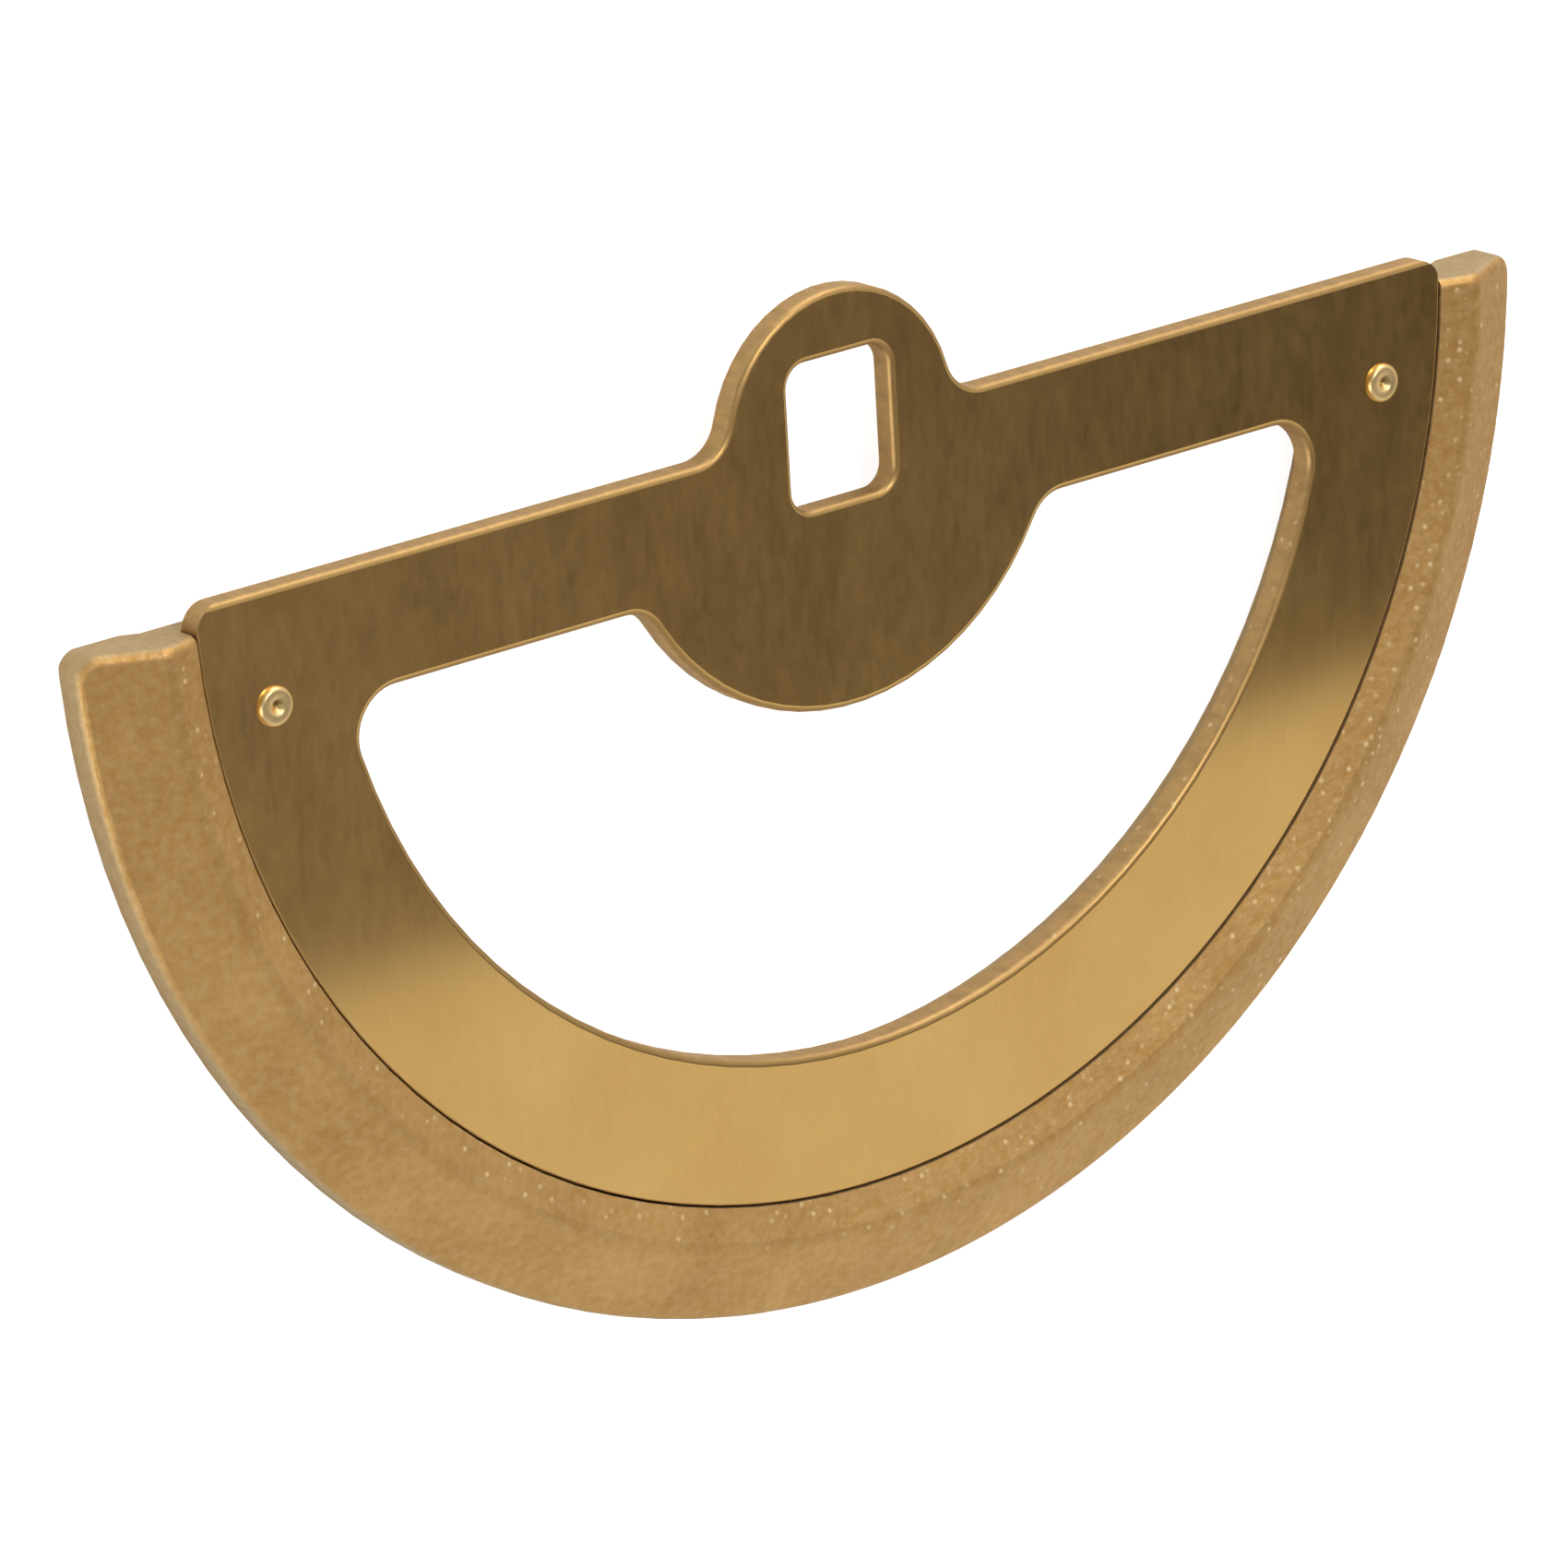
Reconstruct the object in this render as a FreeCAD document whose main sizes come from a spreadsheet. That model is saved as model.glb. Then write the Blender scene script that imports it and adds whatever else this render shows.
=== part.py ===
import FreeCAD, Part
import Sketcher
import math
import os

# Oscillating weight of a self-winding watch: a thin stamped plate with a heavy half-ring
# segment riveted under its rim.
#
# Millimetres, +Z up, away from the movement. The origin is on the rotation axis, at the
# plate's underside, the face that seats on the movement. The straight front edge runs
# along X, and the heavy half hangs towards -Y.

# Driving dimensions, in millimetres
SIZES = {
    # plate
    "plate_thickness": 0.35,
    "plate_rim_radius": 11.2,
    "plate_corner_radius": 0.38,
    "plate_edge_round": 0.1,
    "plate_rim_round": 0.03,
    "front_setback": 0.165,
    "arm_width": 1.82,
    "hub_radius": 4.01,
    "hub_setback": 0.195,
    "hub_root_radius": 0.6,
    "nose_radius": 2.06,
    "nose_setback": 0.25,
    "nose_root_radius": 0.6,
    "ring_width": 2.24,
    "window_setback": 0.17,
    "window_corner_radius": 0.65,
    "slot_width": 1.825,
    "slot_length": 2.11,
    "slot_corner_radius": 0.33,
    # weight
    "rim_gap": 0.03,
    "rim_width": 1.7,
    "flange_width": 1.94,
    "flange_thickness": 0.35,
    "land_lift": 0.02,
    "land_width": 0.56,
    "ridge_height": 0.2,
    "ridge_round": 0.25,
    "rim_drop": 0.13,
    "outer_wall_height": 0.45,
    "relief_width": 0.4,
    "relief_run": 0.25,
    "end_setback": 0.52,
    "end_corner_round": 0.32,
    "weight_edge_round": 0.14,
    "weight_foot_bevel": 0.04,
    # rivets
    "rivet_rim_inset": 1.2,
    "rivet_front_inset": 1.615,
    "shank_radius": 0.22,
    "shank_gap": 0.01,
    "head_radius": 0.28,
    "head_height": 0.08,
    "head_round": 0.065,
    "dimple_radius": 0.12,
    "dimple_depth": 0.06,
    "dimple_round": 0.1,
    "foot_flare": 0.14,
}

# Two places closer than this are one place
SAME = 1e-6

doc = FreeCAD.newDocument("rotor")
sheet = doc.addObject("Spreadsheet::Sheet", "dims")
for row, (alias, size) in enumerate(SIZES.items(), start=1):
    sheet.set(f"A{row}", alias.replace("_", " "))
    sheet.set(f"B{row}", str(size))
    sheet.setAlias(f"B{row}", alias)
doc.recompute()


def value(expression):
    """Size of a sheet expression, such as dims.hub_radius + dims.hub_setback."""
    return float(sheet.evalExpression(expression))


# Expressions that more than one piece uses
FRONT_Y = "-dims.front_setback"
ARM_Y = "-(dims.front_setback + dims.arm_width)"
HUB_Y = "-dims.hub_setback"
NOSE_Y = "-dims.nose_setback"
WINDOW_Y = "-dims.window_setback"
WINDOW_RADIUS = "(dims.plate_rim_radius - dims.ring_width)"
STEP_RADIUS = "(dims.plate_rim_radius + dims.rim_gap)"
FLANGE_RADIUS = f"({STEP_RADIUS} - dims.flange_width)"
RELIEF_RADIUS = f"({STEP_RADIUS} + dims.relief_width)"
RIDGE_RADIUS = f"({STEP_RADIUS} + dims.land_width)"
WALL_RADIUS = f"({STEP_RADIUS} + dims.rim_width)"
RIDGE_TOP = "(dims.plate_thickness + dims.ridge_height)"
FLANGE_BOTTOM = "-dims.flange_thickness"
RIM_BOTTOM = "-(dims.flange_thickness + dims.rim_drop)"
CORNER_Y = "-(dims.front_setback + dims.plate_corner_radius)"
HOLE_RADIUS = "(dims.shank_radius + dims.shank_gap)"
HEAD_TOP = "(dims.plate_thickness + dims.head_height)"
RIVET_X = "(dims.plate_rim_radius - dims.rivet_rim_inset)"
RIVET_Y = "-(dims.front_setback + dims.rivet_front_inset)"


def new_body(label):
    body = doc.addObject("PartDesign::Body", label)
    body.Label = label
    return body


def new_sketch(body, name, role="XY_Plane"):
    sketch = body.newObject("Sketcher::SketchObject", name)
    plane = next(f for f in body.Origin.OriginFeatures if f.Role == role)
    sketch.AttachmentSupport = (plane, [""])
    sketch.MapMode = "FlatFace"
    return sketch


def drive(sketch, constraint, name, expression):
    """Add a named constraint whose size follows the sheet."""
    index = sketch.addConstraint(constraint)
    sketch.renameConstraint(index, name)
    sketch.setExpression(f"Constraints.{name}", expression)


def place_point(sketch, geometry, position, name, x_size, y_size):
    """Hold a point at two expressions, measured from the sketch's origin."""
    for kind, size in (("DistanceX", x_size), ("DistanceY", y_size)):
        label = f"{name}_{kind[-1]}"
        if value(size) < 0:
            constraint = Sketcher.Constraint(kind, geometry, position, -1, 1, -value(size))
            drive(sketch, constraint, label, f"-({size})")
        else:
            constraint = Sketcher.Constraint(kind, -1, 1, geometry, position, value(size))
            drive(sketch, constraint, label, size)


def draw_circle(sketch, name, x_size, y_size, radius_size):
    centre = FreeCAD.Vector(value(x_size), value(y_size), 0)
    circle = Part.Circle(centre, FreeCAD.Vector(0, 0, 1), value(radius_size))
    index = sketch.addGeometry(circle)
    place_point(sketch, index, 3, name, x_size, y_size)
    drive(sketch, Sketcher.Constraint("Radius", index, value(radius_size)), f"{name}_R", radius_size)


def draw_outline(sketch, corners):
    """Closed outline of straight edges through named corners, each held by two expressions."""
    points = [FreeCAD.Vector(value(x), value(y), 0) for _, x, y in corners]
    count = len(points)
    lines = []
    for index in range(count):
        line = Part.LineSegment(points[index], points[(index + 1) % count])
        lines.append(sketch.addGeometry(line))
    for index in range(count):
        following = lines[(index + 1) % count]
        sketch.addConstraint(Sketcher.Constraint("Coincident", lines[index], 2, following, 1))
    for line, (name, x_size, y_size) in zip(lines, corners):
        place_point(sketch, line, 1, name, x_size, y_size)


def draw_rectangle(sketch, left, right, low, high):
    corners = [("lower_left", left, low), ("lower_right", right, low),
               ("upper_right", right, high), ("upper_left", left, high)]
    draw_outline(sketch, corners)


def pad(body, sketch, name, length):
    feature = body.newObject("PartDesign::Pad", name)
    feature.Profile = sketch
    feature.setExpression("Length", length)
    doc.recompute()


def pocket_through(body, sketch, name):
    """Cut the sketch right through the body, both ways from its plane."""
    before = body.Shape.Volume
    feature = body.newObject("PartDesign::Pocket", name)
    feature.Profile = sketch
    feature.SideType = "Symmetric"
    feature.Type = "ThroughAll"
    doc.recompute()
    if not feature.Shape.Volume < before:
        raise RuntimeError(f"{name} cuts nothing")
    return feature


def mirror_across_yz(body, feature, name):
    mirrored = body.newObject("PartDesign::Mirrored", name)
    mirrored.Originals = [feature]
    plane = next(f for f in body.Origin.OriginFeatures if f.Role == "YZ_Plane")
    mirrored.MirrorPlane = (plane, [""])
    body.Tip = mirrored
    doc.recompute()


def is_upright(edge):
    return isinstance(edge.Curve, Part.Line) and abs(edge.Curve.Direction.z) > 1 - SAME


def upright_edges_near(shape, places):
    """Names of the edges along Z that pass nearest to the given places in plan."""
    names = []
    for x, y in places:
        best = None
        for index, edge in enumerate(shape.Edges, start=1):
            if not is_upright(edge):
                continue
            start = edge.Vertexes[0].Point
            distance = math.hypot(start.x - x, start.y - y)
            if best is None or distance < best[0]:
                best = (distance, f"Edge{index}")
        names.append(best[1])
    return names


def fillet(body, base, edges, name, radius):
    feature = body.newObject("PartDesign::Fillet", name)
    feature.Base = (base, edges)
    feature.setExpression("Radius", radius)
    doc.recompute()


def chamfer(body, base, edges, name, size):
    feature = body.newObject("PartDesign::Chamfer", name)
    feature.Base = (base, edges)
    feature.setExpression("Size", size)
    doc.recompute()


def circle_edges(shape, radius, height):
    """Names of the level circular edges of this radius at this height."""
    names = []
    for index, edge in enumerate(shape.Edges, start=1):
        curve = edge.Curve
        if not isinstance(curve, Part.Circle) or abs(curve.Axis.z) < 1 - SAME:
            continue
        if abs(curve.Radius - radius) < SAME and abs(curve.Center.z - height) < SAME:
            names.append(f"Edge{index}")
    return names


def edges_at_height(shape, height):
    """Names of the edges that lie at this height."""
    names = []
    for index, edge in enumerate(shape.Edges, start=1):
        middle = edge.valueAt((edge.FirstParameter + edge.LastParameter) / 2)
        heights = [middle.z] + [vertex.Z for vertex in edge.Vertexes]
        if max(abs(z - height) for z in heights) < SAME:
            names.append(f"Edge{index}")
    return names


def upper_edges(shape, end_y, low):
    """Edges that bound the end faces and the outer wall, above a height."""
    names = []
    step = value(STEP_RADIUS)
    wall = value(f"{WALL_RADIUS} - dims.end_corner_round")
    for index, edge in enumerate(shape.Edges, start=1):
        middle = edge.valueAt((edge.FirstParameter + edge.LastParameter) / 2)
        radius = math.hypot(middle.x, middle.y)
        outside = radius > wall or (radius > step + SAME and abs(middle.y - end_y) < SAME)
        if outside and middle.z > low and not is_upright(edge):
            names.append(f"Edge{index}")
    return names


def both_sides(x, y):
    return [(x, y), (-x, y)]


def chord_half_width(radius, offset):
    """Half the width of a circle, at this distance from its centre."""
    return math.sqrt(radius ** 2 - offset ** 2)


def draw_window(sketch):
    """D-shaped window: the rim's inner arc, the arms' lower edges and the hub's round side."""
    rim = value(WINDOW_RADIUS)
    rim_y = value(WINDOW_Y)
    hub = value("dims.hub_radius")
    hub_y = value(HUB_Y)
    arm_y = value(ARM_Y)
    rim_x = chord_half_width(rim, arm_y - rim_y)
    hub_x = chord_half_width(hub, arm_y - hub_y)
    up = FreeCAD.Vector(0, 0, 1)
    rim_start = math.atan2(arm_y - rim_y, -rim_x)
    rim_end = math.atan2(arm_y - rim_y, rim_x)
    hub_start = math.atan2(arm_y - hub_y, -hub_x)
    hub_end = math.atan2(arm_y - hub_y, hub_x)
    rim_arc = sketch.addGeometry(Part.ArcOfCircle(Part.Circle(FreeCAD.Vector(0, rim_y, 0), up, rim),
                                                  rim_start, rim_end))
    hub_arc = sketch.addGeometry(Part.ArcOfCircle(Part.Circle(FreeCAD.Vector(0, hub_y, 0), up, hub),
                                                  hub_start, hub_end))
    left = sketch.addGeometry(Part.LineSegment(FreeCAD.Vector(-rim_x, arm_y, 0),
                                               FreeCAD.Vector(-hub_x, arm_y, 0)))
    right = sketch.addGeometry(Part.LineSegment(FreeCAD.Vector(hub_x, arm_y, 0),
                                                FreeCAD.Vector(rim_x, arm_y, 0)))
    joins = [(left, 1, rim_arc, 1), (left, 2, hub_arc, 1), (right, 1, hub_arc, 2), (right, 2, rim_arc, 2)]
    for join in joins:
        sketch.addConstraint(Sketcher.Constraint("Coincident", *join))
    place_point(sketch, rim_arc, 3, "rim", "0", WINDOW_Y)
    place_point(sketch, hub_arc, 3, "hub", "0", HUB_Y)
    drive(sketch, Sketcher.Constraint("Radius", rim_arc, rim), "rim_R", WINDOW_RADIUS)
    drive(sketch, Sketcher.Constraint("Radius", hub_arc, hub), "hub_R", "dims.hub_radius")
    for side, line in (("left", left), ("right", right)):
        sketch.addConstraint(Sketcher.Constraint("Horizontal", line))
        drive(sketch, Sketcher.Constraint("DistanceY", line, 1, -1, 1, -arm_y), f"{side}_Y", f"-({ARM_Y})")


def draw_corner_waste(sketch):
    """Waste outside the plate's right corner, up to an arc that meets rim and front edge."""
    round_size = "dims.plate_corner_radius"
    centre_x = f"sqrt((dims.plate_rim_radius - {round_size})^2 - ({CORNER_Y})^2)"
    stretch = f"dims.plate_rim_radius / (dims.plate_rim_radius - {round_size})"
    far_x = f"dims.plate_rim_radius + {round_size}"
    far_y = f"{FRONT_Y} + {round_size}"
    rim_x = f"{centre_x} * {stretch}"
    rim_y = f"{CORNER_Y} * {stretch}"
    corners = [("rim", rim_x, rim_y), ("low", far_x, rim_y), ("far", far_x, far_y),
               ("high", centre_x, far_y), ("front", centre_x, FRONT_Y)]
    points = [FreeCAD.Vector(value(x), value(y), 0) for _, x, y in corners]
    lines = [sketch.addGeometry(Part.LineSegment(*ends)) for ends in zip(points, points[1:])]
    centre = FreeCAD.Vector(value(centre_x), value(CORNER_Y), 0)
    circle = Part.Circle(centre, FreeCAD.Vector(0, 0, 1), value(round_size))
    rim_angle = math.atan2(value(rim_y) - centre.y, value(rim_x) - centre.x)
    arc = sketch.addGeometry(Part.ArcOfCircle(circle, rim_angle, math.pi / 2))
    for line, following in zip(lines, lines[1:]):
        sketch.addConstraint(Sketcher.Constraint("Coincident", line, 2, following, 1))
    sketch.addConstraint(Sketcher.Constraint("Coincident", arc, 1, lines[0], 1))
    sketch.addConstraint(Sketcher.Constraint("Coincident", arc, 2, lines[-1], 2))
    for line, (name, x_size, y_size) in zip(lines, corners):
        place_point(sketch, line, 1, name, x_size, y_size)
    place_point(sketch, arc, 3, "centre", centre_x, CORNER_Y)
    sketch.addConstraint(Sketcher.Constraint("Vertical", lines[-1]))


def make_rotor_plate():
    """Stamped plate: half ring, two straight arms, hub and nose in one piece."""
    body = new_body("rotor_plate")

    disc = new_sketch(body, "disc_outline")
    draw_circle(disc, "rim", "0", "0", "dims.plate_rim_radius")
    pad(body, disc, "disc", "dims.plate_thickness")
    thickness = value("dims.plate_thickness")
    rim_edge = circle_edges(body.Shape, value("dims.plate_rim_radius"), thickness)
    fillet(body, body.Tip, rim_edge, "rim_edge", "dims.plate_rim_round")

    # Everything in front of the straight front edge goes, and the nose is added back
    front = new_sketch(body, "front_outline")
    draw_rectangle(front, "-2 * dims.plate_rim_radius", "2 * dims.plate_rim_radius",
                   FRONT_Y, "2 * dims.plate_rim_radius")
    pocket_through(body, front, "front_cut")
    nose = new_sketch(body, "nose_outline")
    draw_circle(nose, "nose", "0", NOSE_Y, "dims.nose_radius")
    pad(body, nose, "nose", "dims.plate_thickness")

    window = new_sketch(body, "window_outline")
    draw_window(window)
    pocket_through(body, window, "window")

    # Oblong hole in the middle of the hub, which keys the plate to the movement
    slot = new_sketch(body, "slot_outline")
    slot_low = f"{HUB_Y} - dims.slot_length / 2"
    slot_high = f"{HUB_Y} + dims.slot_length / 2"
    draw_rectangle(slot, "-dims.slot_width / 2", "dims.slot_width / 2", slot_low, slot_high)
    pocket_through(body, slot, "slot")

    rivet_hole = new_sketch(body, "rivet_hole_outline")
    draw_circle(rivet_hole, "rivet", RIVET_X, RIVET_Y, HOLE_RADIUS)
    hole = pocket_through(body, rivet_hole, "rivet_hole")
    mirror_across_yz(body, hole, "rivet_holes")

    # Upright corners, rounded in plan
    front_y = value(FRONT_Y)
    arm_y = value(ARM_Y)
    nose_x = chord_half_width(value("dims.nose_radius"), front_y - value(NOSE_Y))
    window_x = chord_half_width(value(WINDOW_RADIUS), arm_y - value(WINDOW_Y))
    hub_x = chord_half_width(value("dims.hub_radius"), arm_y - value(HUB_Y))
    slot_x = value("dims.slot_width / 2")
    corners = [
        ("nose_roots", both_sides(nose_x, front_y), "dims.nose_root_radius"),
        ("window_corners", both_sides(window_x, arm_y), "dims.window_corner_radius"),
        ("hub_roots", both_sides(hub_x, arm_y), "dims.hub_root_radius"),
        ("slot_corners", both_sides(slot_x, value(slot_low)) + both_sides(slot_x, value(slot_high)),
         "dims.slot_corner_radius"),
    ]
    for name, places, radius in corners:
        edges = upright_edges_near(body.Shape, places)
        fillet(body, body.Tip, edges, name, radius)

    # The stamping rolls every upper edge over, apart from the rivet holes and the rim
    kept = circle_edges(body.Shape, value(HOLE_RADIUS), thickness)
    kept += circle_edges(body.Shape, value("dims.plate_rim_radius - dims.plate_rim_round"), thickness)
    edges = [name for name in edges_at_height(body.Shape, thickness) if name not in kept]
    fillet(body, body.Tip, edges, "rolled_edges", "dims.plate_edge_round")

    # The corners come off last, so that the rim keeps its smaller round
    waste = new_sketch(body, "corner_waste")
    draw_corner_waste(waste)
    corner = pocket_through(body, waste, "plate_corner")
    mirror_across_yz(body, corner, "plate_corners")
    return body


def make_weight_segment():
    """Heavy half ring: flange under the plate, then land, ridge, cone and outer wall."""
    body = new_body("weight_segment")

    section = new_sketch(body, "section", "XZ_Plane")
    wall_top = f"{RIM_BOTTOM} + dims.outer_wall_height"
    draw_outline(section, [
        ("flange_low", FLANGE_RADIUS, FLANGE_BOTTOM),
        ("relief_low", RELIEF_RADIUS, FLANGE_BOTTOM),
        ("rim_low", f"{RELIEF_RADIUS} + dims.relief_run", RIM_BOTTOM),
        ("bevel_low", f"{WALL_RADIUS} - dims.weight_foot_bevel", RIM_BOTTOM),
        ("wall_low", WALL_RADIUS, f"{RIM_BOTTOM} + dims.weight_foot_bevel"),
        ("wall_high", WALL_RADIUS, wall_top),
        ("ridge", RIDGE_RADIUS, RIDGE_TOP),
        ("land", STEP_RADIUS, "dims.plate_thickness + dims.land_lift"),
        ("step", STEP_RADIUS, "0"),
        ("flange_high", FLANGE_RADIUS, "0"),
    ])
    ring = body.newObject("PartDesign::Revolution", "ring")
    ring.Profile = section
    ring.ReferenceAxis = (section, ["V_Axis"])
    ring.Angle = 360
    doc.recompute()

    ends = new_sketch(body, "end_outline")
    draw_rectangle(ends, f"-2 * {WALL_RADIUS}", f"2 * {WALL_RADIUS}",
                   "-dims.end_setback", f"2 * {WALL_RADIUS}")
    pocket_through(body, ends, "end_faces")

    # Upright outer corners, then the soft ridge, then a small radius round the upper outside
    end_y = value("-dims.end_setback")
    wall_x = chord_half_width(value(WALL_RADIUS), end_y)
    corners = upright_edges_near(body.Shape, both_sides(wall_x, end_y))
    fillet(body, body.Tip, corners, "end_corners", "dims.end_corner_round")
    ridge = circle_edges(body.Shape, value(RIDGE_RADIUS), value(RIDGE_TOP))
    fillet(body, body.Tip, ridge, "soft_ridge", "dims.ridge_round")
    edges = upper_edges(body.Shape, end_y, value(f"{wall_top} - dims.weight_foot_bevel"))
    fillet(body, body.Tip, edges, "outside_edges", "dims.weight_edge_round")

    rivet_hole = new_sketch(body, "rivet_hole_outline")
    draw_circle(rivet_hole, "rivet", RIVET_X, RIVET_Y, HOLE_RADIUS)
    hole = pocket_through(body, rivet_hole, "rivet_hole")
    mirror_across_yz(body, hole, "rivet_holes")
    mouths = circle_edges(body.Shape, value(HOLE_RADIUS), value(FLANGE_BOTTOM))
    chamfer(body, body.Tip, mouths, "countersinks", "dims.foot_flare")
    return body


def make_rivet(label, side):
    """Rivet: domed head with a dimple above the plate, flared foot in the flange."""
    body = new_body(label)
    profile = new_sketch(body, "profile", "XZ_Plane")
    foot_top = f"{FLANGE_BOTTOM} + dims.foot_flare"
    draw_outline(profile, [
        ("foot_centre", "0", FLANGE_BOTTOM),
        ("foot_edge", "dims.shank_radius + dims.foot_flare", FLANGE_BOTTOM),
        ("shank_low", "dims.shank_radius", foot_top),
        ("shank_high", "dims.shank_radius", "dims.plate_thickness"),
        ("head_low", "dims.head_radius", "dims.plate_thickness"),
        ("head_high", "dims.head_radius", HEAD_TOP),
        ("dimple_edge", "dims.dimple_radius", HEAD_TOP),
        ("dimple", "0", f"{HEAD_TOP} - dims.dimple_depth"),
    ])
    turned = body.newObject("PartDesign::Revolution", "turned")
    turned.Profile = profile
    turned.ReferenceAxis = (profile, ["V_Axis"])
    turned.Angle = 360
    doc.recompute()
    shoulder = circle_edges(body.Shape, value("dims.head_radius"), value(HEAD_TOP))
    fillet(body, body.Tip, shoulder, "domed_head", "dims.head_round")
    rim = circle_edges(body.Shape, value("dims.dimple_radius"), value(HEAD_TOP))
    fillet(body, body.Tip, rim, "dimple_rim", "dims.dimple_round")
    body.setExpression("Placement.Base.x", f"{side} * {RIVET_X}")
    body.setExpression("Placement.Base.y", RIVET_Y)
    doc.recompute()
    return body


def check(bodies):
    for item in doc.Objects:
        if "Invalid" in item.State or "Error" in item.State:
            raise RuntimeError(f"{item.Name} failed: {item.State}")
    for body in bodies:
        if body.Shape.isNull() or not body.Shape.isValid() or not body.Shape.Solids:
            raise RuntimeError(f"{body.Label} has no valid solid")


BODIES = [
    make_rotor_plate(),
    make_weight_segment(),
    make_rivet("rivet_left", -1),
    make_rivet("rivet_right", 1),
]
doc.recompute()
check(BODIES)
os.makedirs("parts", exist_ok=True)
for body in BODIES:
    body.Shape.exportStep(f"parts/{body.Label}.step")
    print(body.Label, f"{body.Shape.Volume:.4f} mm3", len(body.Shape.Solids), "solid")
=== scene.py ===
import math

import bpy
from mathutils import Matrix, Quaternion, Vector


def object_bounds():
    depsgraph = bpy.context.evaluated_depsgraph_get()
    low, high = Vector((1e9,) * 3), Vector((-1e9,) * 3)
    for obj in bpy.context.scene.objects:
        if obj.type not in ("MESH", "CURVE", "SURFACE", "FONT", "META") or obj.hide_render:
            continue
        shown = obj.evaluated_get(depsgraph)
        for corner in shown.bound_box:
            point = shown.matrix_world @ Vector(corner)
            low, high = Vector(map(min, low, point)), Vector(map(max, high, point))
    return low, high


# Rotor of a self-winding watch, lying on a pale studio floor.
# Metres, +Z up. The rotation axis is the Z axis and the heavy half hangs towards -Y.

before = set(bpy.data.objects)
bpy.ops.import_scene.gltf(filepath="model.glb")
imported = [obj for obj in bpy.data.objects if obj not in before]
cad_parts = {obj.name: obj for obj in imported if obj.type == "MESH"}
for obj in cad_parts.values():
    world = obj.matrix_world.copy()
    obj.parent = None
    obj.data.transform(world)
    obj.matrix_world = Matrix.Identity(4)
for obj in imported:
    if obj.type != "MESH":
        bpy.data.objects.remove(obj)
CAD_LOW, CAD_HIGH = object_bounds()
MM = 0.001

# Camera: the place, aim and roll that the photograph was taken with
IMAGE_SIDE = 1700
FOCAL_PIXELS = 12875.4
SENSOR_WIDTH = 36.0
CAMERA_PLACE = Vector((-99.375, 45.4, 122.3)) * MM
CAMERA_AIM = Vector((-1.0993, -5.1564, 0.0)) * MM
CAMERA_ROLL = math.radians(107.6588)
CAMERA_NEAR = 0.01
CAMERA_FAR = 10.0

# Tones, as linear red, green, blue and alpha
PLATE_GOLD = (0.80, 0.508, 0.172, 1.0)
PLATE_GOLD_DEEP = (0.76, 0.467, 0.152, 1.0)
WEIGHT_GOLD = (0.68, 0.412, 0.136, 1.0)
# Deep gold of the weight, for its cloudy tone and for the painted shade towards its ends and +X
WEIGHT_GOLD_DEEP = (0.53, 0.293, 0.083, 1.0)
# Painted shade on the weight's walls
SIDE_SHADE_GOLD = (0.54, 0.375, 0.165, 1.0)
WALL_GOLD = (0.69, 0.44, 0.18, 1.0)
WALL_GOLD_DEEP = (0.55, 0.35, 0.145, 1.0)
# Painted shade on the rolled edges
ROLL_SHADE_BROWN = (0.26, 0.15, 0.055, 1.0)
# Painted shade in the seam at the plate's rim
SEAM_SHADE_BROWN = (0.34, 0.18, 0.07, 1.0)
# Painted glints, also the lighter grain of the weight
GLINT_AND_GRAIN_GOLD = (1.0, 0.78, 0.44, 1.0)
RIVET_GOLD = (0.86, 0.62, 0.28, 1.0)
# Painted shade in the rivet's dimple
DIMPLE_SHADE_OLIVE = (0.24, 0.16, 0.06, 1.0)
WHITE = (1.0, 1.0, 1.0, 1.0)

# Roughness of the metal
PLATE_SMOOTH = 0.10
PLATE_DULL = 0.42
WALL_ROUGH = 0.5
WEIGHT_ROUGH = 0.58
COAT_ROUGH = 0.6
RIVET_ROUGH = (0.34, 0.42)

# Grain of the metal: cells per metre along X, Y and Z, and depth
BRUSH_GROOVE = (14000, 250, 250)
PLATE_CLOUD = (420, 420, 420)
WALL_GRAIN = (7000, 7000, 2500)
WEIGHT_CLOUD = (700, 700, 700)
WEIGHT_GRAIN = (7000, 7000, 7000)
RIVET_WEAR = (5000, 5000, 5000)
GROOVE_DEPTH = 0.003 * MM
WALL_DEPTH = 0.012 * MM
WEIGHT_DEPTH = 0.02 * MM
WEAR_DEPTH = 0.01 * MM

# Brushing of the plate: cells per metre, detail, roughness and swing of each layer
BRUSH_LAYERS = (
    ((4200, 1500, 1500), 3.0, 0.6, 0.3),
    ((10000, 3600, 3600), 3.0, 0.6, 0.25),
    ((1100, 700, 700), 4.0, 0.65, 0.25))
DULL_SHARE = 0.135

# Changes of look with the slope, which is 0 on a wall and 1 on a level face, and the shares at both ends
WALL_BY_SLOPE = ((0.6, 0.97), (1.0, 0.0))
DULL_BY_SLOPE = ((0.97, 0.999), (1.0, 0.0))
STEEP_BY_SLOPE = ((0.3, 0.7), (1.0, 0.0))
BEND_BY_LOW_SLOPE = ((0.3, 0.7), (0.0, 1.0))
BEND_BY_HIGH_SLOPE = ((0.93, 0.995), (1.0, 0.0))
# Painted shade on the middle of the rolled edges, on the top and on the walls
BEND_SHADE_TOP = 0.6
BEND_SHADE_WALL = 0.5

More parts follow.
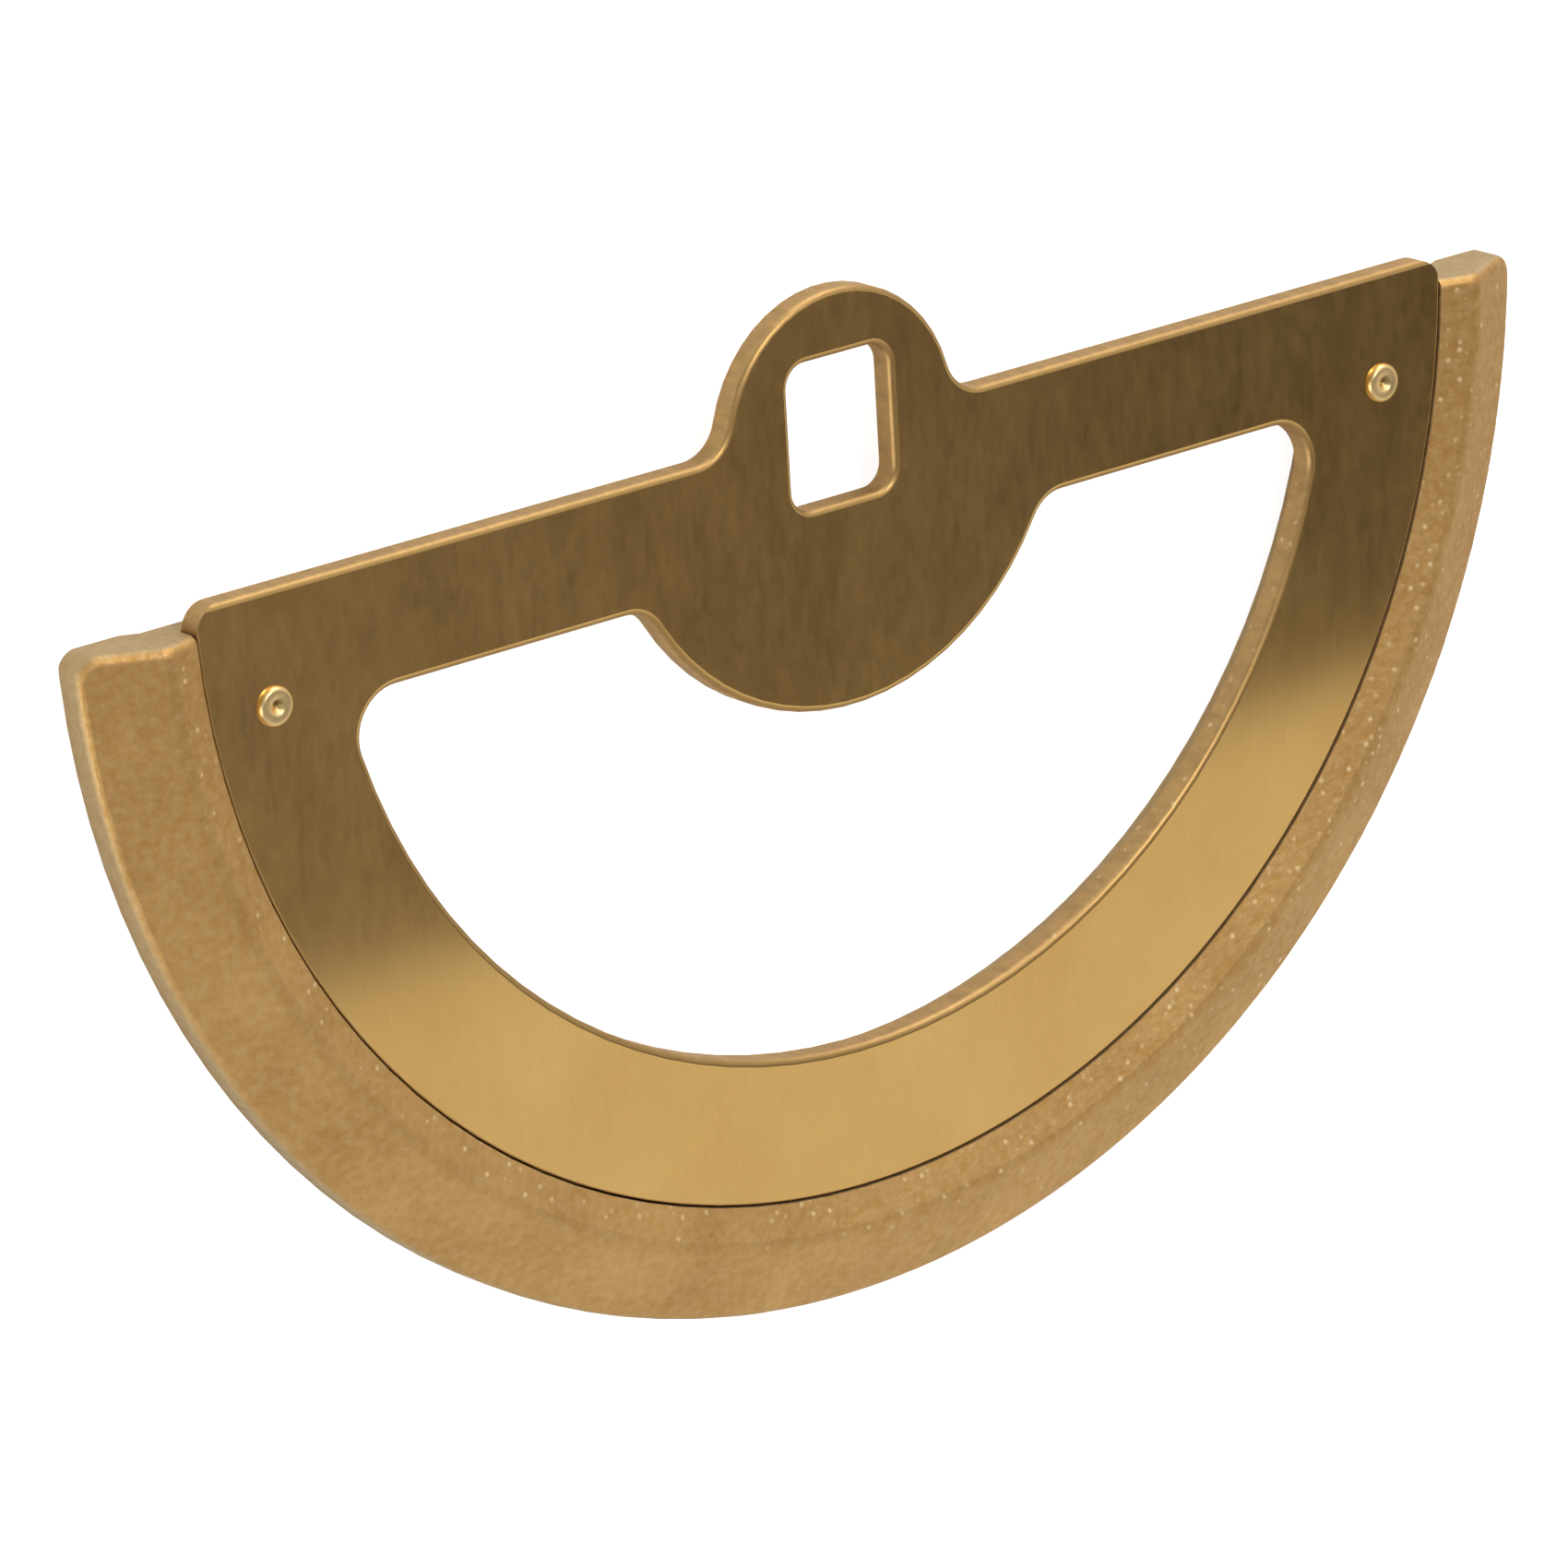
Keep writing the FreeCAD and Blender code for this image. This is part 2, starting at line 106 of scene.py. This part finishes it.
# Changes of look along X, along Y or out from the rotation axis, and the shares at both ends
CONTRAST_BY_X = ((-6.0 * MM, 8.0 * MM), (0.26, 0.17))
# Painted shade in the seam at the plate's rim
SEAM_SHADE_BY_REACH = ((11.12 * MM, 11.19 * MM), (0.0, 0.6))
# Painted shade on the weight, darker towards +X and towards its ends at +Y
SHADE_BY_X = ((7.0 * MM, 12.0 * MM), (0.0, 0.4))
SHADE_BY_Y = ((-6.0 * MM, -0.5 * MM), (0.0, 0.75))
WINDOW_CROWD_BY_X = ((1.0 * MM, 6.0 * MM), (-0.1, 0.58))
WINDOW_THINNING_BY_Y = ((-3.0 * MM, -2.4 * MM), (0.0, 0.6))
WEIGHT_CROWD_BY_X = ((-10.0 * MM, 6.0 * MM), (-0.25, 0.1))
WEIGHT_CROWD_BY_REACH = ((11.6 * MM, 12.1 * MM), (0.46, 0.04))
STEEP_THINNING = 0.5

# Painted glints: cells per metre, how a cell that holds one comes on, its fall from the middle outwards,
# its shine
GLINT_CELLS = (6500, 6500, 6500)
GLINT_HELD = ((0.0, 0.1), (0.0, 1.0))
GLINT_SPOT = ((0.1, 0.34), (1.0, 0.0))
GLINT_SHINE_CELLS = (8000, 8000, 8000)
GLINT_SHINE = (0.35, 1.0)

# Rivet heads, in shares of the rivet's own box, and how far their shading swells
HEAD_MIDDLE = (0.5, 0.5, 0.0)
HEAD_CROWN = 0.27
HEAD_EDGE = 0.4
HEAD_SWELL = 0.7 * MM
# Painted shade in the dimple, set off the middle
DIMPLE_MIDDLE = (0.55, 0.57, 0.0)
DIMPLE_SHADE_BY_REACH = ((0.05, 0.15), (0.8, 0.0))

# Studio: soft light all round, dimmer towards -X, and a card that only reflections see
WORLD_BY_X = ((-0.7, 0.1), (0.35, 0.77))
FLOOR_HALF = 1.5
FLOOR_DROP = 0.02 * MM
FLOOR_TONE = (0.7, 0.7, 0.7, 1.0)
FLOOR_GLOW = 0.85
CARD_HEIGHT = 40.0 * MM
CARD_LEFT = -34.0 * MM
CARD_RIGHT = 54.0 * MM
CARD_FAR = 6.0 * MM
CARD_TINT = (1.0, 0.93, 1.0, 1.0)
CARD_STRENGTH = (0.195, 0.077)
REFLECTED_EDGE_Y = -6.125 * MM
REFLECTED_HALF = 12.0 * MM

# Lamps: name, place, side and power in watts
LAMPS = (
    ("key", Vector((-0.02, 0.17, 0.25)), 0.05, 0.3),
    ("front_fill", Vector((0.10, 0.22, 0.05)), 0.12, 0.2),
    ("side_fill", Vector((-0.22, -0.08, 0.05)), 0.12, 0.2))
LAMP_AIM = Vector((0.0, -0.005, 0.0))


class Nodes:
    """Adds and links the shader nodes of one material or world."""

    def __init__(self, owner):
        self.owner = owner
        owner.use_nodes = True
        self.tree = owner.node_tree
        self.tree.nodes.clear()

    def add(self, kind, inputs=None, **settings):
        node = self.tree.nodes.new(kind)
        for key, setting in settings.items():
            setattr(node, key, setting)
        for key, source in (inputs or {}).items():
            if isinstance(source, bpy.types.NodeSocket):
                self.tree.links.new(source, node.inputs[key])
            else:
                node.inputs[key].default_value = source
        return node

    def place(self, kind):
        return self.add("ShaderNodeTexCoord").outputs[kind]

    def along(self, vector, letter):
        return self.add("ShaderNodeSeparateXYZ", {"Vector": vector}).outputs[letter]

    def cells(self, scale):
        """Object coordinates with so many cells per metre along X, Y and Z."""
        mapping = self.add("ShaderNodeMapping", {"Vector": self.place("Object"), "Scale": scale})
        return mapping.outputs["Vector"]

    def noise(self, scale, detail, roughness=0.5):
        node = self.add("ShaderNodeTexNoise", {
            "Vector": self.cells(scale), "Scale": 1.0, "Detail": detail, "Roughness": roughness})
        return node.outputs["Fac"]

    def span(self, source, old, new):
        """Maps the range old onto the range new and holds the ends."""
        node = self.add("ShaderNodeMapRange", {
            "Value": source, "From Min": old[0], "From Max": old[1], "To Min": new[0], "To Max": new[1]})
        return node.outputs["Result"]

    def spread(self, noise, new, margin=0.3):
        """Maps the values that a noise mostly takes onto the range new."""
        return self.span(noise, (margin, 1.0 - margin), new)

    def math(self, operation, first, second):
        return self.add("ShaderNodeMath", {0: first, 1: second}, operation=operation).outputs[0]

    def reach(self, vector, middle):
        """Distance from a middle, seen along Z."""
        away = self.add("ShaderNodeVectorMath", {0: vector, 1: middle}, operation="SUBTRACT")
        level = self.add("ShaderNodeVectorMath", {0: away.outputs[0], 1: (1, 1, 0)}, operation="MULTIPLY")
        return self.add("ShaderNodeVectorMath", {0: level.outputs[0]}, operation="LENGTH").outputs["Value"]

    def blend(self, share, first, second):
        return self.add("ShaderNodeMix", {0: share, 6: first, 7: second}, data_type="RGBA").outputs[2]

    def bump(self, height, strength, depth, normal=None):
        inputs = {"Height": height, "Strength": strength, "Distance": depth}
        if normal is not None:
            inputs["Normal"] = normal
        return self.add("ShaderNodeBump", inputs).outputs["Normal"]

    def metal(self, colour, roughness, normal, coat=0.0):
        return self.add("ShaderNodeBsdfPrincipled", {
            "Base Color": colour, "Metallic": 1.0, "Roughness": roughness, "Normal": normal,
            "Coat Weight": coat, "Coat Roughness": COAT_ROUGH}).outputs[0]

    def glow(self, colour, strength):
        return self.add("ShaderNodeEmission", {"Color": colour, "Strength": strength}).outputs[0]

    def mix(self, share, first, second):
        return self.add("ShaderNodeMixShader", {0: share, 1: first, 2: second}).outputs[0]

    def output(self, surface):
        self.add("ShaderNodeOutputMaterial", {"Surface": surface})
        return self.owner


def slope(nodes):
    """0 on walls, 1 on level faces, from the surface's own direction."""
    turn = nodes.add("ShaderNodeNewGeometry").outputs["Normal"]
    level = nodes.add("ShaderNodeVectorTransform", {"Vector": turn}, vector_type="NORMAL",
                      convert_from="WORLD", convert_to="OBJECT")
    return nodes.math("ABSOLUTE", nodes.along(level.outputs["Vector"], "Z"), 0.0)


def bend(nodes, most):
    """Share of painted shade: most on the middle of the rolled edges, 0 on walls and level faces."""
    level = slope(nodes)
    rise = nodes.span(level, *BEND_BY_LOW_SLOPE)
    fall = nodes.span(level, *BEND_BY_HIGH_SLOPE)
    return nodes.math("MULTIPLY", nodes.math("MULTIPLY", rise, fall), most)


def plan(nodes, letter):
    """Object coordinate X or Y."""
    return nodes.along(nodes.place("Object"), letter)


def plan_reach(nodes):
    """Distance from the rotation axis."""
    return nodes.reach(nodes.place("Object"), (0, 0, 0))


def painted_glints(nodes, crowd):
    """Small round spots of painted highlight; crowd is the share of cells that hold one."""
    cells = nodes.add("ShaderNodeTexVoronoi", {"Vector": nodes.cells(GLINT_CELLS), "Scale": 1.0})
    chance = nodes.along(cells.outputs["Color"], "X")
    held = nodes.span(nodes.math("SUBTRACT", crowd, chance), *GLINT_HELD)
    shine = nodes.spread(nodes.noise(GLINT_SHINE_CELLS, detail=1.0), GLINT_SHINE, margin=0.35)
    spot = nodes.span(cells.outputs["Distance"], *GLINT_SPOT)
    return nodes.math("MULTIPLY", nodes.math("MULTIPLY", held, shine), spot)


def streaks(nodes):
    """Fine straight brushing along Y and faint smudges, around 0."""
    total = 0.0
    for cells, detail, roughness, swing in BRUSH_LAYERS:
        layer = nodes.spread(nodes.noise(cells, detail, roughness), (-swing, swing))
        total = nodes.math("ADD", layer, total)
    return total


def plate_top(nodes):
    """Smooth plating crossed by duller streaks; the rolled edges are dull and darkened with painted shade.
    """
    cloud = nodes.spread(nodes.noise(PLATE_CLOUD, detail=3.0), (0.0, 1.0), margin=0.35)
    colour = nodes.blend(cloud, PLATE_GOLD_DEEP, PLATE_GOLD)
    # Painted shade on the rolled edges
    colour = nodes.blend(bend(nodes, BEND_SHADE_TOP), colour, ROLL_SHADE_BROWN)
    normal = nodes.bump(nodes.noise(BRUSH_GROOVE, detail=1.0), strength=0.05, depth=GROOVE_DEPTH)
    contrast = nodes.span(plan(nodes, "X"), *CONTRAST_BY_X)
    share = nodes.math("ADD", nodes.math("MULTIPLY", streaks(nodes), contrast), DULL_SHARE)
    share = nodes.math("MAXIMUM", share, nodes.span(slope(nodes), *DULL_BY_SLOPE))
    smooth = nodes.metal(colour, PLATE_SMOOTH, normal)
    dull = nodes.metal(colour, PLATE_DULL, normal)
    return nodes.mix(share, smooth, dull)


def plate_wall(nodes):
    """Dull stamped wall, with painted glints on the window's side at +X and painted shade on its rolled
    edges and in the seam at the plate's rim.
    """
    grain = nodes.noise(WALL_GRAIN, detail=3.0)
    colour = nodes.blend(nodes.spread(grain, (0.0, 1.0)), WALL_GOLD_DEEP, WALL_GOLD)
    crowd = nodes.math("SUBTRACT", nodes.span(plan(nodes, "X"), *WINDOW_CROWD_BY_X),
                       nodes.span(plan(nodes, "Y"), *WINDOW_THINNING_BY_Y))
    # Painted glints
    colour = nodes.blend(painted_glints(nodes, crowd), colour, GLINT_AND_GRAIN_GOLD)
    # Painted shade on the rolled edges
    colour = nodes.blend(bend(nodes, BEND_SHADE_WALL), colour, ROLL_SHADE_BROWN)
    # Painted shade in the seam at the plate's rim
    colour = nodes.blend(nodes.span(plan_reach(nodes), *SEAM_SHADE_BY_REACH), colour, SEAM_SHADE_BROWN)
    return nodes.metal(colour, WALL_ROUGH, nodes.bump(grain, strength=0.4, depth=WALL_DEPTH))


def brushed_plate():
    """Gold plating, brushed on top and dull on the stamped walls."""
    nodes = Nodes(bpy.data.materials.new("brushed_plate"))
    wall_share = nodes.span(slope(nodes), *WALL_BY_SLOPE)
    return nodes.output(nodes.mix(wall_share, plate_top(nodes), plate_wall(nodes)))


def sandblasted_weight():
    """Gold plating over a fine sandblasted grain, with painted glints, painted shade towards the ends and
    +X, and painted shade on the walls.
    """
    nodes = Nodes(bpy.data.materials.new("sandblasted_weight"))
    cloud = nodes.noise(WEIGHT_CLOUD, detail=4.0, roughness=0.6)
    grain = nodes.noise(WEIGHT_GRAIN, detail=3.0, roughness=0.6)
    steep = nodes.span(slope(nodes), *STEEP_BY_SLOPE)
    # Painted shade: darker towards the ends at +Y and towards +X, not on the walls
    painted_shade = nodes.math("ADD", nodes.span(plan(nodes, "Y"), *SHADE_BY_Y),
                      nodes.span(plan(nodes, "X"), *SHADE_BY_X))
    painted_shade = nodes.math("MULTIPLY", painted_shade, nodes.math("SUBTRACT", 1.0, steep))
    light = nodes.math("SUBTRACT", nodes.spread(cloud, (0.1, 0.95)), painted_shade)
    colour = nodes.blend(light, WEIGHT_GOLD_DEEP, WEIGHT_GOLD)
    # Painted shade on the walls: a duller, less saturated gold
    colour = nodes.blend(steep, colour, SIDE_SHADE_GOLD)
    colour = nodes.blend(nodes.spread(grain, (0.0, 0.22)), colour, GLINT_AND_GRAIN_GOLD)
    crowd = nodes.math("ADD", nodes.span(plan_reach(nodes), *WEIGHT_CROWD_BY_REACH),
                       nodes.span(plan(nodes, "X"), *WEIGHT_CROWD_BY_X))
    crowd = nodes.math("SUBTRACT", crowd, nodes.math("MULTIPLY", steep, STEEP_THINNING))
    # Painted glints
    colour = nodes.blend(painted_glints(nodes, crowd), colour, GLINT_AND_GRAIN_GOLD)
    normal = nodes.bump(grain, strength=0.6, depth=WEIGHT_DEPTH)
    coat = nodes.span(steep, (0.0, 1.0), (0.1, 0.8))
    return nodes.output(nodes.metal(colour, WEIGHT_ROUGH, normal, coat))


def satin_rivet():
    """Gold head with painted shade in its dimple; its shading is rounder than the solid."""
    nodes = Nodes(bpy.data.materials.new("rivet"))
    box = nodes.place("Generated")
    # Painted shade in the dimple, set off the middle
    dimple_shade = nodes.span(nodes.reach(box, DIMPLE_MIDDLE), *DIMPLE_SHADE_BY_REACH)
    colour = nodes.blend(dimple_shade, RIVET_GOLD, DIMPLE_SHADE_OLIVE)
    inside = nodes.math("MINIMUM", nodes.reach(box, HEAD_MIDDLE), HEAD_EDGE)
    off_crown = nodes.math("SUBTRACT", inside, HEAD_CROWN)
    pillow = nodes.math("MULTIPLY", nodes.math("MULTIPLY", off_crown, off_crown), -1.0)
    swell = nodes.bump(pillow, strength=1.0, depth=HEAD_SWELL)
    wear = nodes.noise(RIVET_WEAR, detail=2.0)
    normal = nodes.bump(wear, strength=0.1, depth=WEAR_DEPTH, normal=swell)
    return nodes.output(nodes.metal(colour, nodes.spread(wear, RIVET_ROUGH), normal))


def assign(node, material):
    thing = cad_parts[node]
    thing.data.materials.clear()
    thing.data.materials.append(material)


def make_sheet(name, low, high, z, material):
    """Flat level sheet that belongs to the studio, between two corners in X and Y."""
    corners = [(low[0], low[1], z), (high[0], low[1], z), (high[0], high[1], z), (low[0], high[1], z)]
    mesh = bpy.data.meshes.new(name)
    mesh.from_pydata(corners, [], [(0, 1, 2, 3)])
    mesh.materials.append(material)
    sheet = bpy.data.objects.new(name, mesh)
    bpy.context.scene.collection.objects.link(sheet)
    return sheet


def make_floor():
    """Pale floor just below the weight, white to the camera except for the shadow."""
    nodes = Nodes(bpy.data.materials.new("floor"))
    pale = nodes.add("ShaderNodeBsdfDiffuse", {"Color": FLOOR_TONE}).outputs[0]
    seen = nodes.add("ShaderNodeAddShader", {0: pale, 1: nodes.glow(WHITE, FLOOR_GLOW)}).outputs[0]
    path = nodes.add("ShaderNodeLightPath")
    material = nodes.output(nodes.mix(path.outputs["Is Camera Ray"], pale, seen))
    low = (-FLOOR_HALF, -FLOOR_HALF)
    high = (FLOOR_HALF, FLOOR_HALF)
    make_sheet("floor", low, high, CAD_LOW.z - FLOOR_DROP, material)


def make_card():
    """Grey card over the plate, which reflects the card's edge at -Y as a line along X."""
    view = CAMERA_PLACE - CAMERA_AIM
    shift_x = -CARD_HEIGHT * view.x / view.z
    shift_y = -CARD_HEIGHT * view.y / view.z
    nodes = Nodes(bpy.data.materials.new("card"))
    left_to_right = (shift_x - REFLECTED_HALF, shift_x + REFLECTED_HALF)
    strength = nodes.span(plan(nodes, "X"), left_to_right, CARD_STRENGTH)
    material = nodes.output(nodes.glow(CARD_TINT, strength))
    low = (CARD_LEFT, REFLECTED_EDGE_Y + shift_y)
    high = (CARD_RIGHT, CARD_FAR)
    card = make_sheet("card", low, high, CARD_HEIGHT, material)
    card.visible_camera = False
    card.visible_diffuse = False
    card.visible_shadow = False


def make_world():
    world = bpy.data.worlds.new("studio")
    bpy.context.scene.world = world
    nodes = Nodes(world)
    strength = nodes.span(nodes.along(nodes.place("Generated"), "X"), *WORLD_BY_X)
    sky = nodes.add("ShaderNodeBackground", {"Color": WHITE, "Strength": strength})
    nodes.add("ShaderNodeOutputWorld", {"Surface": sky.outputs[0]})


def make_lamp(name, place, side, power):
    lamp = bpy.data.lights.new(name, "AREA")
    lamp.shape = "SQUARE"
    lamp.size = side
    lamp.energy = power
    thing = bpy.data.objects.new(name, lamp)
    thing.location = place
    thing.rotation_mode = "QUATERNION"
    thing.rotation_quaternion = (LAMP_AIM - place).to_track_quat("-Z", "Y")
    bpy.context.scene.collection.objects.link(thing)


def make_camera():
    camera = bpy.data.cameras.new("camera")
    camera.sensor_width = SENSOR_WIDTH
    camera.lens = FOCAL_PIXELS / IMAGE_SIDE * SENSOR_WIDTH
    camera.clip_start = CAMERA_NEAR
    camera.clip_end = CAMERA_FAR
    thing = bpy.data.objects.new("camera", camera)
    thing.location = CAMERA_PLACE
    thing.rotation_mode = "QUATERNION"
    turn = (CAMERA_AIM - CAMERA_PLACE).to_track_quat("-Z", "Y")
    thing.rotation_quaternion = turn @ Quaternion((0, 0, 1), CAMERA_ROLL)
    bpy.context.scene.collection.objects.link(thing)
    bpy.context.scene.camera = thing


assign("rotor_plate", brushed_plate())
assign("weight_segment", sandblasted_weight())
rivet = satin_rivet()
assign("rivet_left", rivet)
assign("rivet_right", rivet)
make_floor()
make_card()
make_world()
for lamp in LAMPS:
    make_lamp(*lamp)
make_camera()
bpy.context.scene.view_settings.view_transform = "Standard"
